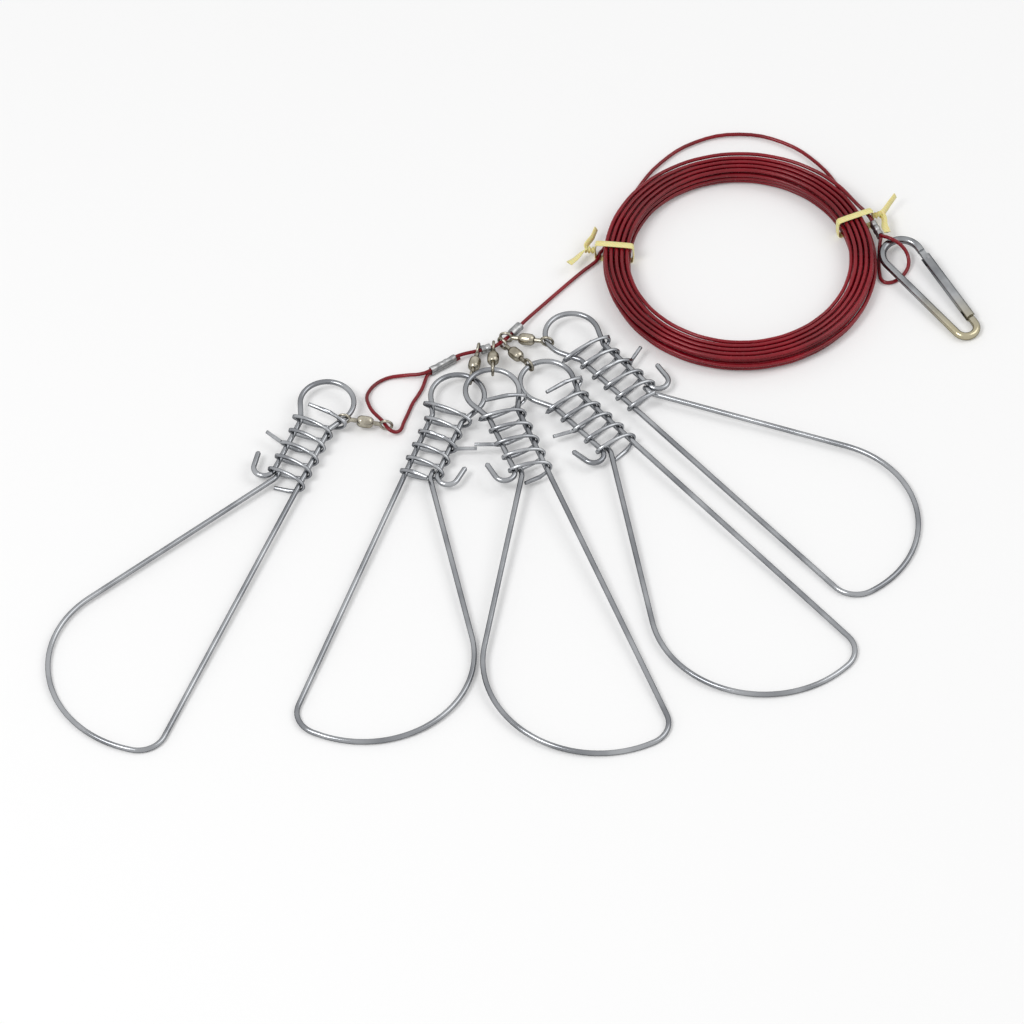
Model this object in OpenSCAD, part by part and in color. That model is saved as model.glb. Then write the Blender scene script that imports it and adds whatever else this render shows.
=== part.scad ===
// Fish stringer laid out as it is sold: five wire clips on swivels, a coated cable wound in a
// bundle, and a small snap hook. Millimetres, +Z up, lying on the plane Z = 0.

/* [Clip wire] */
// Diameter of the wire that each clip is bent from
clip_wire_d = 1.5; // [1.2:0.1:1.9]
// Distance between the two legs inside the lock coil, centre to centre
legs_apart = 8.8; // [7.4:0.1:10.4]
// How much wider than the legs the ring is on each side
ring_flare = 3.3; // [2.8:0.1:3.9]
// Angle between the ring's necks and the legs
neck_angle = 25; // [21:1:29]
// Radius of the bend from a neck into its leg
neck_bend_r = 2.5; // [2:0.1:3]
// Straight run from the lock coil down to the tight bend
spine_l = 92; // [77:1:109]
// Radius of the tight bend at the far end
tight_bend_r = 8; // [6.6:0.1:9.6]
// Angle of the tight bend
tight_bend_angle = 84; // [72:1:96]
// Straight run between the tight bend and the wide bend
base_l = 1; // [0.5:0.1:1.5]
// Radius of the wide bend
wide_bend_r = 33; // [28:0.5:39]
// Radius of the bend that turns the free leg into the coil
entry_bend_r = 4; // [3:0.1:5]
// How far the free leg reaches into the coil
free_leg_l = 5; // [4:0.1:5.4]
// Radius of the open hook at the end of the short leg
hook_bend_r = 3; // [2.6:0.1:3.6]
// Angle that the open hook turns back by
hook_angle = 172; // [160:1:180]
// Straight arm of the open hook
hook_arm_l = 4.6; // [3.8:0.1:5.5]

/* [Lock coil] */
// Diameter of the wire that the lock coil is wound from
coil_wire_d = 1.1; // [0.9:0.05:1.3]
// Rise of the coil in one turn
coil_pitch = 5.1; // [4.3:0.1:6.1]
// Number of turns
coil_turns = 5.625; // [4.625:0.125:6.625]
// Free height above and below a leg inside the coil
coil_air = 1.05; // [0.9:0.05:1.3]
// Length of the thumb tab outside the coil
tab_l = 5.6; // [4.6:0.1:6.7]
// Angle that the thumb tab leans towards the ring
tab_lean = 20; // [16:1:24]

/* [Swivels] */
// Length of a swivel over both eyes
swivel_l = 16.4; // [14.5:0.1:19.5]
// Hole of an eye
eye_hole_d = 2.6; // [2.4:0.1:3.1]
// Diameter of the wire of an eye
eye_wire_d = 0.8; // [0.7:0.05:0.95]
// Diameter of the shank that turns in the barrel
shank_d = 0.9; // [0.75:0.05:1.1]
// Length of the barrel
barrel_l = 4.6; // [4:0.1:5.4]
// Largest diameter of the barrel
barrel_d = 3.4; // [2.9:0.1:4]
// Thickness of the barrel's wall
barrel_wall = 0.4; // [0.35:0.05:0.5]

/* [Cable] */
// Diameter of the coated cable
cable_d = 1.1; // [0.95:0.05:1.3]
// Radius of the outermost loop of the bundle, to the middle of the cable
bundle_r = 39.3; // [33:0.5:46.5]
// Free space between one loop and the next
loop_gap = 0.44; // [0.42:0.01:0.52]
// How far the loose first loop stands out of the bundle
loose_bulge = 11.5; // [9:0.5:14]

/* [Crimp sleeves] */
// Outer diameter of the single stop sleeves
stop_sleeve_d = 2.6; // [2.2:0.1:3]
// Wall of the double sleeves that close the end loops
pair_sleeve_wall = 0.4; // [0.35:0.05:0.5]

/* [Snap hook] */
// Diameter of the snap hook's wire
snap_wire_d = 2.2; // [1.9:0.1:2.6]
// Distance between the centres of the two rounded ends
snap_l = 31.5; // [28:0.5:37.5]
// Radius of the wide end, to the middle of the wire
snap_wide_r = 5.6; // [5.2:0.1:6.6]
// Radius of the narrow end, to the middle of the wire
snap_narrow_r = 3.2; // [2.9:0.1:3.8]
// Diameter of the gate's tube
gate_d = 3; // [2.7:0.1:3.5]
// Diameter of the gate's pin
gate_pin_d = 1; // [0.8:0.05:1.2]

/* [Twist ties] */
// Thickness of a tie
tie_t = 0.6; // [0.5:0.05:0.7]
// Width of a tie
tie_w = 2; // [1.6:0.1:2.4]
// Length of a tie's twisted knot
knot_l = 3.6; // [3:0.1:4.3]

/* [Hidden] */
CLIPS = [1, 2, 3, 4, 5];
$fn = 32;

// Fits and overruns
fit = 0.05;
side_play = 0.25;
tie_play = 0.1;
stack_gap = 0.9;
overrun = 1;
tip_l = 0.4;
tip_share = 0.65;
tab_share = 0.8;
lap = 0.1;
lap_step = 0.01;

// Derived sizes of a clip, in its own frame: the coil's lower end is at y = 0, the ring lies
// towards +y, the open hook towards -x, and the wire's middle is in the plane z = 0
clip_wire_r = clip_wire_d / 2;
coil_wire_r = coil_wire_d / 2;
leg_x = legs_apart / 2;
coil_mid_x = leg_x + clip_wire_r + side_play + coil_wire_r;
coil_mid_z = clip_wire_r + coil_air + coil_wire_r;
coil_side_share = 0.45;
coil_flat_share = 0.43;
first_phase = 67.5;
step_phase = 45;
coil_steps = round(coil_turns * 360 / step_phase);
last_phase = first_phase + coil_steps * step_phase;
coil_l = coil_y(last_phase) + coil_wire_d;
legs_end_y = coil_y(last_phase - 360);
hook_turn_phase = 360;
tab_phase = 3 * 360;
split_phase = tab_phase + 90;
ring_r = leg_x + ring_flare;
neck_l = (ring_r * cos(neck_angle) - leg_x - neck_bend_r * (1 - cos(neck_angle))) / sin(neck_angle);
ring_y = legs_end_y + neck_bend_r * sin(neck_angle) + neck_l * cos(neck_angle) + ring_r * sin(neck_angle);
hook_y = coil_y(hook_turn_phase) - 2 * fit;
HOOK_MOVES = [[0, hook_bend_r, -hook_angle], [hook_arm_l, 0, 0]];

// The closing loop: where the free leg meets the coil and how it leans
free_x = clip_wire_d + 2 * fit - leg_x;
entry_y = free_leg_l * 0.7;
base_heading = -90 - tight_bend_angle;
entry_centre = [free_x - entry_bend_r, entry_y];
// Each clip was bent by hand, so its spine and its wide bend differ a little
spine_share = [1.05, 0.955, 1.01, 1.005, 0.925];
wide_bend_share = [0.96, 0.95, 0.99, 0.97, 0.9];
function spine(i) = spine_l * spine_share[i];
function tight_end(i) = [
    leg_x - tight_bend_r * (1 - cos(tight_bend_angle)),
    -spine(i) - tight_bend_r * sin(tight_bend_angle)];
function wide_r(i) = wide_bend_r * wide_bend_share[i];
function wide_centre(i) =
    tight_end(i) + base_l * along(base_heading) - wide_r(i) * left_of(base_heading);
function centres_apart(i) = norm(entry_centre - wide_centre(i));
function leg_l(i) = sqrt(pow(centres_apart(i), 2) - pow(wide_r(i) + entry_bend_r, 2));
function leg_heading(i) =
    heading_of(entry_centre - wide_centre(i)) - atan2(wide_r(i) + entry_bend_r, leg_l(i));
function far_reach(i) = wide_r(i) - wide_centre(i)[1];

// How a clip lies: the coil's end and the far bend touch the plane
coil_half_t = coil_mid_z + coil_wire_r;
function flat_tilt(i) = asin((coil_half_t - clip_wire_r) / far_reach(i));
function flat_ring_z(i) = coil_half_t + ring_y * sin(flat_tilt(i));

// Places of the clips. clip_heading is the direction from the coil's lower end to the ring.
// closed_heading is the direction from the cable to the ring, which fan_share opens for wide
// clips, and ring_bend turns from there to the ring's centre. A swivel with a neck_grip_share
// holds the right neck that far from the ring. A raised clip rests on its neighbour's ring.
clip_heading = [67.5, 70.3, 111.1, 130.8, 131.2];
closed_heading = [174, -99.8, -91, -90.5, -53.5];
fan_share = [0, 0, 0, 2, 2];
ring_bend = [0, -20, 0, 0, 35];
neck_grip_share = [0.08, 0, 0, 0, 0];
cable_pull_share = [-0.2, -0.6, 0.5, 0.8, -0.5];
ring_pull_share = [0, -0.2, 0.4, 0.8, -0.1];
flipped = [false, true, false, false, true];
raised = [0, 0, 1, 0, 0];

// Derived sizes of the swivels
eye_mid_r = (eye_hole_d + eye_wire_d) / 2;
eye_outer_r = eye_hole_d / 2 + eye_wire_d;
eyes_apart = swivel_l - 2 * eye_outer_r;
barrel_start = (eyes_apart - barrel_l) / 2;
head_t = 0.6;
cable_slack = eye_hole_d / 2 - cable_d / 2;
ring_slack = eye_hole_d / 2 - clip_wire_r;
collar_r = shank_d / 2 + barrel_wall / 2;

// Derived sizes of the cable and the bundle
cable_r = cable_d / 2;
bundle_x = 64.7;
bundle_y = 78.1;
loop_pitch = cable_d + loop_gap;
loops = 19.375;
layers = 4;
rings_a_loop = 24;
bundle_start_angle = 165;
bulge_loop = 0.2083;
bulge_half = 0.1806;
bundle_z = tie_t + cable_r;
loops_a_layer = loops / layers;

// The cable's free run from the bundle past four swivels, round the end loop and back into its
// sleeve, and its run from the bundle round the snap hook. Points chosen by hand.
LEAD_ROUTE = [
    [25.3, 84.5, 1.3], [24.4, 83.3, 1.3], [24.1, 82.1, 1.25], [23.5, 80.7, 1.1], [22.1, 79.3, 0.9],
    [20.3, 77.6, 0.9], [18.1, 75.3, 0.9], [15.9, 72.9, 0.9], [13.3, 70, 0.9], [10.9, 67.2, 1],
    [8.5, 64.3, 1.2], [6.1, 61.3, 1.5], [3.8, 58.4, 1.8], [2.7, 56.9, 2], [1.4, 55.1, 2.2],
    [-1.1, 52, 2.2], [-2.2, 50.7, 2.2], [-4, 48.9, 2.2], [-6.2, 47.2, 2.2], [-7.1, 46.8, 2.2],
    [-9.7, 45.9, 2.2], [-10.7, 45.6, 2.2], [-13.3, 44.9, 2.2], [-15.9, 44, 2.2], [-17.3, 43.2, 2.2],
    [-24.2, 38.4, 2.2], [-25.3, 37.7, 2.1], [-27.7, 37.3, 1.6], [-30.3, 37.4, 1.2], [-32.9, 37.4, 0.8],
    [-35.5, 37, 0.7], [-38, 35.9, 0.7], [-40.2, 34, 0.8], [-41.8, 31.5, 1], [-42.5, 28.8, 1.4],
    [-42, 25.9, 1.8], [-40.9, 23.2, 2], [-39.7, 21.5, 2.1], [-38.3, 19.7, 2.2], [-37.1, 17.8, 2.2],
    [-36.2, 16.4, 2.1], [-35, 15.7, 1.8], [-33.7, 15.9, 1.4], [-32.7, 17.1, 1.1], [-32, 19.6, 0.8],
    [-30.7, 23.3, 0.7], [-29.3, 27.3, 0.7], [-27.8, 30.2, 0.7], [-26.5, 33.1, 0.8], [-25.7, 35.9, 0.9],
    [-25.1, 37.5, 1], [-24.2, 38.4, 1], [-17.3, 43.2, 1], [-15.9, 44, 1]];
HOOK_ROUTE = [
    [101.6, 95, 4.7], [103.1, 92.7, 3.9], [105.2, 88, 3.9], [105.7, 87, 4.6], [106.9, 85.9, 5.4],
    [108.5, 84.9, 5.6], [110.1, 84.2, 5], [111.5, 83.4, 4], [112.6, 82.3, 2.9], [113.2, 80.7, 1.9],
    [113.2, 78.9, 1.2], [112.6, 77.1, 0.8], [111.5, 75.4, 0.6], [110.1, 73.9, 0.6], [108.4, 72.9, 0.6],
    [106.5, 72.8, 0.6], [105.3, 74, 0.6], [104.9, 76, 0.6], [104.7, 78.3, 0.6], [104.7, 80.7, 0.6],
    [104.8, 83, 0.7], [104.9, 85.1, 1.2], [105.1, 86.9, 2], [105.2, 88, 2.7], [103.1, 92.7, 2.7],
    [102.7, 93.7, 2.7]];
// Points of the lead where the swivels' eyes and the sleeves are
EYE_POINTS = [39, 21, 18, 17, 16];
STOP_1_POINT = 14;
STOP_2_POINT = 19;
END_SLEEVE_POINT = 24;
HOOK_SLEEVE_POINT = 1;

// Derived sizes of the snap hook, in its own frame: the wide end's centre is at the origin, the
// narrow end lies towards +x and the gate towards +y
snap_place = [111.3, 80.9, 3.2];
snap_heading = -55;
snap_wire_r = snap_wire_d / 2;
snap_tilt = asin((snap_place[2] - snap_wire_r - fit) / (snap_l + snap_narrow_r + snap_wire_r));
snap_taper = asin((snap_wide_r - snap_narrow_r) / snap_l);
snap_side_l = sqrt(pow(snap_l, 2) - pow(snap_wide_r - snap_narrow_r, 2));
gate_r = gate_d / 2;
tongue_t = gate_pin_d * 1.1;
tongue_gap = 2 * fit;
heel_l = 1.5 * gate_pin_d;
pin_x = 5.2 * gate_pin_d;
nose_l = 1.6 * gate_pin_d;
nose_tongue_l = 3 * gate_pin_d;
gate_end_x = snap_side_l - nose_l - 0.7 * gate_pin_d;
gate_bore_d = gate_d - 2 * barrel_wall - 2 * fit;
gate_spring_wire_d = 0.35 * gate_pin_d;
gate_spring_turns = 5;

// Plan directions and the state of a wire after one step: [length, bend radius, bend angle]
function along(heading) = [cos(heading), sin(heading)];
function left_of(heading) = [-sin(heading), cos(heading)];
function heading_of(v) = atan2(v[1], v[0]);
function after(state, step) =
    let (straight_end = state[0] + step[0] * along(state[1]))
    let (side = sign(step[2]))
    let (centre = straight_end + side * step[1] * left_of(state[1]))
    [centre - side * step[1] * left_of(state[1] + step[2]), state[1] + step[2]];
function states(state, steps, i = 0) =
    i == len(steps) ? [state] : concat([state], states(after(state, steps[i]), steps, i + 1));

// One bent wire in the plane z = 0, from a start point and heading, through its steps. The
// straight runs are a hair thicker and lap over the bends.
module bent_wire(start, heading, steps, wire_r) {
    path = states([start, heading], steps);
    for (i = [0 : len(steps) - 1]) {
        at = path[i][0];
        facing = path[i][1];
        side = sign(steps[i][2]);
        turn = abs(steps[i][2]);
        bend_start = at + steps[i][0] * along(facing);
        if (steps[i][0] > 0)
            translate([at[0], at[1], 0])
                rotate([0, 90, facing])
                    translate([0, 0, -lap])
                        cylinder(h = steps[i][0] + 2 * lap, r = wire_r + lap_step);
        if (turn > 0) {
            centre = bend_start + side * steps[i][1] * left_of(facing);
            translate([centre[0], centre[1], 0])
                rotate([0, 0, side > 0 ? facing - 90 : facing + 90 - turn])
                    rotate_extrude(angle = turn)
                        translate([steps[i][1], 0])
                            circle(r = wire_r);
        }
    }
}

// A short taper that ends a wire, from a point along a heading
module wire_tip(at, heading, wire_r) {
    translate([at[0], at[1], 0])
        rotate([0, 90, heading])
            cylinder(h = lap + tip_l, r1 = wire_r, r2 = wire_r * tip_share);
}

// Points of the lock coil: it winds in eight straight runs a turn round both legs, and its last
// turn widens with the ring's necks
function coil_y(phase) = coil_wire_r + fit + coil_pitch * (phase - first_phase) / 360;
function coil_corner(phase) =
    let (part = round((phase - first_phase) / step_phase + 1) % 8)
    let (x_share = [-1, -coil_flat_share, coil_flat_share, 1, 1, coil_flat_share, -coil_flat_share, -1])
    let (z_share = [-coil_side_share, -1, -1, -coil_side_share, coil_side_share, 1, 1, coil_side_share])
    let (flare = max(0, coil_y(phase) - legs_end_y + coil_wire_d) * tan(neck_angle))
    [(coil_mid_x + flare) * x_share[part], coil_y(phase), coil_mid_z * z_share[part]];
function coil_point(phase) =
    let (steps_up = (phase - first_phase) / step_phase)
    steps_up == floor(steps_up) ? coil_corner(phase)
        : (coil_corner(phase - step_phase / 2) + coil_corner(phase + step_phase / 2)) / 2;
SLIDE_POINTS = concat(
    [for (phase = [first_phase : step_phase : split_phase]) coil_point(phase)],
    [coil_point(split_phase)]);
SPRING_POINTS = concat(
    [coil_point(split_phase)],
    [for (phase = [split_phase + step_phase / 2 : step_phase : last_phase]) coil_point(phase)]);

// A tube swept along points, as one closed solid with the given number of sides
function unit(v) = v / norm(v);
function tube_direction(points, i) =
    i == 0 ? unit(points[1] - points[0])
        : i == len(points) - 1 ? unit(points[i] - points[i - 1])
        : unit(unit(points[i + 1] - points[i]) + unit(points[i] - points[i - 1]));
module tube(points, tube_r, sides, up) {
    last = len(points) - 1;
    skin = [for (i = [0 : last])
        let (forward = tube_direction(points, i))
        let (across = unit(cross(forward, up)))
        let (over = cross(across, forward))
        for (k = [0 : sides - 1])
            points[i] + tube_r * (cos(360 * k / sides) * across + sin(360 * k / sides) * over)];
    walls = [for (i = [0 : last - 1], k = [0 : sides - 1])
        let (a = i * sides + k)
        let (b = i * sides + (k + 1) % sides)
        for (face = [[a, b, a + sides], [b, b + sides, a + sides]]) face];
    first_cap = [for (k = [1 : sides - 2]) [0, k + 1, k]];
    last_cap = [for (k = [1 : sides - 2]) [last * sides, last * sides + k, last * sides + k + 1]];
    polyhedron(points = skin, faces = concat(walls, first_cap, last_cap), convexity = 10);
}

// Points of the bundle: loops spiral in and out again in four layers
function bundle_r_at(t) =
    let (in_layer = loops_a_layer - abs(t % (2 * loops_a_layer) - loops_a_layer))
    let (off_bulge = (t - bulge_loop) / bulge_half)
    bundle_r - loop_pitch * in_layer
        + (abs(off_bulge) < 1 ? loose_bulge * pow(cos(90 * off_bulge), 2) : 0);
function climb(t, layer) = min(1, max(0, (t - layer * loops_a_layer) * 2 + 0.5));
function bundle_z_at(t) = bundle_z + loop_pitch * (climb(t, 1) + climb(t, 2) + climb(t, 3));
function bundle_point(t) =
    [bundle_x + bundle_r_at(t) * cos(bundle_start_angle - 360 * t),
     bundle_y + bundle_r_at(t) * sin(bundle_start_angle - 360 * t),
     bundle_z_at(t)];
bundle_rings = loops * rings_a_loop;
BUNDLE_CURVE = [for (i = [0 : bundle_rings]) bundle_point(i / rings_a_loop)];
start_run = BUNDLE_CURVE[0] - cable_d * tangent(bundle_start_angle);
end_run = BUNDLE_CURVE[bundle_rings] + cable_d * tangent(bundle_start_angle - 360 * loops);
function tangent(angle) = [sin(angle), -cos(angle), 0];
BUNDLE_POINTS = concat([start_run], BUNDLE_CURVE, [end_run]);
LEAD_POINTS = concat([start_run - cable_d * tangent(bundle_start_angle)], LEAD_ROUTE);
HOOK_POINTS = concat([end_run + cable_d * tangent(bundle_start_angle - 360 * loops)], HOOK_ROUTE);

// Least free gap between turns of a wound tube, on its points
function least_gap(points, apart, tube_d) =
    min([for (i = [0 : len(points) - 1 - apart], j = [i + apart : len(points) - 1])
        norm(points[i] - points[j])]) - tube_d;
echo(least_gap_in_bundle = least_gap(BUNDLE_POINTS, rings_a_loop / 2, cable_d));
echo(least_gap_in_lock_coil = least_gap(concat(SLIDE_POINTS, SPRING_POINTS), 6, coil_wire_d));

// Places of clip i, counted from 0
function ring_z(i) = flat_ring_z(i) + raised[i] * (clip_wire_d + stack_gap);
function clip_tilt(i) = asin((ring_z(i) - clip_wire_r) / (ring_y + far_reach(i)));
function swivel_heading(i) = closed_heading[i] + fan_share[i] * atan(wide_bend_r / spine_l);
function cable_point(i) = LEAD_ROUTE[EYE_POINTS[i]];
function eye_point(i) =
    let (pull = cable_slack * cable_pull_share[i] * along(swivel_heading(i)))
    cable_point(i) + [pull[0], pull[1], 0];
function neck_grip(i) =
    ring_r * along(-neck_angle) + neck_grip_share[i] * neck_l * along(-90 - neck_angle);
function from_grip(i) =
    neck_grip_share[i] > 0
        ? -neck_grip(i)[0] * along(clip_heading[i] - 90) - neck_grip(i)[1] * along(clip_heading[i])
        : ring_r * along(swivel_heading(i) + ring_bend[i]);
function contact_z(i) = ring_z(i) - from_grip(i) * along(clip_heading[i]) * sin(clip_tilt(i));
function swivel_rise(i) = asin((contact_z(i) - eye_point(i)[2]) / eyes_apart);
function contact(i) =
    let (reach = eyes_apart * cos(swivel_rise(i)) + ring_slack * ring_pull_share[i])
    let (flat = reach * along(swivel_heading(i)))
    [eye_point(i)[0] + flat[0], eye_point(i)[1] + flat[1], contact_z(i)];
function ring_centre(i) =
    [contact(i)[0], contact(i)[1]] + from_grip(i);
function clip_origin(i) =
    let (plan = ring_centre(i) - ring_y * cos(clip_tilt(i)) * along(clip_heading[i]))
    [plan[0], plan[1], ring_z(i) - ring_y * sin(clip_tilt(i))];

module place_clip(i) {
    translate(clip_origin(i))
        rotate([0, 0, clip_heading[i] - 90])
            rotate([clip_tilt(i), 0, 0])
                rotate([0, flipped[i] ? 180 : 0, 0])
                    children();
}
module place_swivel(i) {
    translate(eye_point(i))
        rotate([0, -swivel_rise(i), swivel_heading(i)])
            children();
}

// Clip wire: hook, leg, ring, leg, spine and closing loop in one bent wire
module clip_wire(i) {
    color("silver")
        place_clip(i) {
            bent_wire([-leg_x, hook_y], 90, [
                [legs_end_y - hook_y, neck_bend_r, neck_angle],
                [neck_l, ring_r, -180 - 2 * neck_angle],
                [neck_l, neck_bend_r, neck_angle],
                [legs_end_y + spine(i), tight_bend_r, -tight_bend_angle],
                [base_l, wide_r(i), leg_heading(i) - base_heading - 360],
                [leg_l(i), entry_bend_r, 90 - leg_heading(i)],
                [free_leg_l - entry_y, 0, 0]], clip_wire_r);
            bent_wire([-leg_x, hook_y], -90, HOOK_MOVES, clip_wire_r);
            hook_end = states([[-leg_x, hook_y], -90], HOOK_MOVES)[2];
            wire_tip(hook_end[0], hook_end[1], clip_wire_r);
            wire_tip([free_x, free_leg_l], 90, clip_wire_r);
        }
}
// Lower turns of the lock coil with the thumb tab
module lock_slide(i) {
    color("gainsboro")
        place_clip(i) {
            tube(SLIDE_POINTS, coil_wire_r, 6, [0, 1, 0]);
            translate([-coil_mid_x, coil_y(tab_phase), 0])
                rotate([0, -90, -tab_lean])
                    cylinder(h = coil_wire_r + tab_l, r = coil_wire_r * tab_share);
        }
}
// Upper turns of the lock coil, which the slide presses towards the ring
module lock_spring(i) {
    color("gainsboro")
        place_clip(i)
            tube(SPRING_POINTS, coil_wire_r, 6, [0, 1, 0]);
}

// Barrel of a swivel: a hollow turned shell with a hole at each end
module swivel_barrel(i) {
    hole_r = shank_d / 2 + fit;
    inner_r = barrel_d / 2 - barrel_wall;
    mouth_r = barrel_d / 2 * 0.62;
    shoulder = barrel_l * 0.2;
    color("goldenrod")
        place_swivel(i)
            translate([barrel_start, 0, 0])
                rotate([0, 90, 0])
                    rotate_extrude()
                        polygon([
                            [hole_r, 0], [mouth_r, 0], [barrel_d / 2, shoulder],
                            [barrel_d / 2, barrel_l - shoulder], [mouth_r, barrel_l],
                            [hole_r, barrel_l], [hole_r, barrel_l - barrel_wall],
                            [mouth_r, barrel_l - barrel_wall], [inner_r, barrel_l - shoulder],
                            [inner_r, shoulder], [mouth_r, barrel_wall], [hole_r, barrel_wall]]);
}
// One eye with its collar, the shank through the barrel's end and the head inside
module swivel_eye() {
    shank_l = barrel_start + barrel_wall + fit - eye_mid_r;
    color("darkgoldenrod") {
        rotate([90, 0, 0])
            rotate_extrude()
                translate([eye_mid_r, 0])
                    circle(r = eye_wire_d / 2);
        translate([eye_mid_r, 0, 0])
            rotate([0, 90, 0]) {
                cylinder(h = shank_l, r = shank_d / 2);
                cylinder(h = barrel_start - eye_mid_r - 2 * fit, r = collar_r);
                translate([0, 0, shank_l])
                    cylinder(h = head_t, r = barrel_d / 2 * 0.55);
            }
    }
}
module swivel_cable_eye(i) {
    place_swivel(i)
        swivel_eye();
}
module swivel_clip_eye(i) {
    place_swivel(i)
        translate([eyes_apart, 0, 0])
            rotate([0, 0, 180])
                swivel_eye();
}

// Cable: the bundle, the run past the swivels with its end loop, and the loop at the snap hook
module cable_coil() {
    color("firebrick")
        tube(BUNDLE_POINTS, cable_r, 6, [0, 0, 1]);
}
module cable_lead() {
    color("firebrick")
        tube(concat([start_run], LEAD_POINTS), cable_r, 8, [0, 0, 1]);
}
module cable_hook_loop() {
    color("firebrick")
        tube(concat([end_run], HOOK_POINTS), cable_r, 8, [0, 0, 1]);
}

// Places a child that lies along +x between two points
module lie_between(from, to) {
    translate(from)
        rotate([0, -asin((to[2] - from[2]) / norm(to - from)), heading_of(to - from)])
            children();
}
// Single sleeve pressed on the cable beside a swivel
module stop_sleeve(point) {
    from = LEAD_ROUTE[point];
    to = LEAD_ROUTE[point + 1];
    color("darkgray")
        lie_between(from, to)
            rotate([0, 90, 0])
                difference() {
                    cylinder(h = norm(to - from), d = stop_sleeve_d);
                    translate([0, 0, -overrun])
                        cylinder(h = norm(to - from) + 2 * overrun, r = cable_r);
                }
}
// Double sleeve that holds the cable's end beside its own run, one above the other
module pair_sleeve(from, to, drop) {
    sleeve_l = norm(to - from);
    color("darkgray")
        lie_between(from, to)
            rotate([0, 90, 0])
                difference() {
                    union() {
                        cylinder(h = sleeve_l, r = cable_r + pair_sleeve_wall);
                        translate([drop, 0, 0])
                            cylinder(h = sleeve_l, r = cable_r + pair_sleeve_wall);
                        translate([0, -cable_r, 0])
                            cube([drop, 2 * cable_r, sleeve_l]);
                    }
                    for (x = [0, drop])
                        translate([x, 0, -overrun])
                            cylinder(h = sleeve_l + 2 * overrun, r = cable_r);
                }
}
module end_loop_sleeve() {
    from = LEAD_ROUTE[END_SLEEVE_POINT];
    drop = from[2] - LEAD_ROUTE[len(LEAD_ROUTE) - 2][2];
    pair_sleeve(from, LEAD_ROUTE[END_SLEEVE_POINT + 1], drop);
}
module hook_loop_sleeve() {
    from = HOOK_ROUTE[HOOK_SLEEVE_POINT];
    drop = from[2] - HOOK_ROUTE[len(HOOK_ROUTE) - 2][2];
    pair_sleeve(from, HOOK_ROUTE[HOOK_SLEEVE_POINT + 1], drop);
}

// Twist tie: a flat band round the bundle at one angle, with a twisted knot outside
module rounded(w, h, r) {
    translate([r, 0])
        square([w - 2 * r, h]);
    translate([0, r])
        square([w, h - 2 * r]);
    for (x = [r, w - r], y = [r, h - r])
        translate([x, y])
            circle(r = r);
}
module twist_tie(angle, beside, tail_angles) {
    bundle_w = loop_pitch * loops_a_layer + cable_d + beside + 2 * tie_play;
    bundle_h = loop_pitch * (layers - 1) + cable_d + tie_play;
    inner_r = bundle_r + cable_r + beside + tie_play - bundle_w;
    knot_r = tie_t * 0.9;
    color("khaki")
        translate([bundle_x, bundle_y, 0])
            rotate([0, 0, angle])
                translate([inner_r - tie_t, 0, 0]) {
                    rotate([90, 0, 0])
                        linear_extrude(tie_w, center = true)
                            difference() {
                                rounded(bundle_w + 2 * tie_t, bundle_h + 2 * tie_t, cable_r + tie_t);
                                translate([tie_t, tie_t])
                                    rounded(bundle_w, bundle_h, cable_r);
                            }
                    translate([bundle_w + 2 * tie_t, 0, bundle_h / 2 + tie_t])
                        rotate([0, 90, 0])
                            cylinder(h = knot_l, r = knot_r);
                    for (tail = tail_angles)
                        translate([bundle_w + 2 * tie_t + knot_l - knot_r, 0, bundle_h / 2 + tie_t])
                            rotate([0, 90, tail])
                                cylinder(h = 2 * knot_l, r = tie_t / 2);
                }
}
module twist_tie_left() {
    twist_tie(174, cable_d + loop_gap, [-75, 75]);
}
module twist_tie_right() {
    twist_tie(24, cable_d + loop_gap, [60, -50]);
}

// Snap hook
module place_snap() {
    translate(snap_place)
        rotate([0, snap_tilt, snap_heading])
            children();
}
// Brings the gate's line, from the wide end to the nose, to the +x axis
module on_gate_line() {
    rotate([0, 0, -snap_taper])
        translate([0, snap_wide_r, 0])
            children();
}
module tongue(from_x, to_x) {
    translate([from_x, -snap_wire_r * 0.8, -tongue_t / 2])
        cube([to_x - from_x, snap_wire_r * 1.6, tongue_t]);
}
module snap_body() {
    wire_end_x = pin_x - heel_l - 2 * tongue_t;
    color("silver")
        place_snap()
            difference() {
                union() {
                    on_gate_line()
                        bent_wire([wire_end_x, 0], 180, [
                            [wire_end_x, snap_wide_r, 180 + 2 * snap_taper],
                            [snap_side_l, snap_narrow_r, 180 - 2 * snap_taper],
                            [nose_l, 0, 0]], snap_wire_r);
                    on_gate_line() {
                        tongue(wire_end_x - overrun / 2, pin_x + gate_pin_d);
                        tongue(snap_side_l - nose_l - nose_tongue_l, snap_side_l - nose_l + overrun / 2);
                    }
                }
                on_gate_line()
                    translate([pin_x, 0, -gate_d])
                        cylinder(h = 2 * gate_d, r = gate_pin_d / 2 + fit);
            }
}
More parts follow.
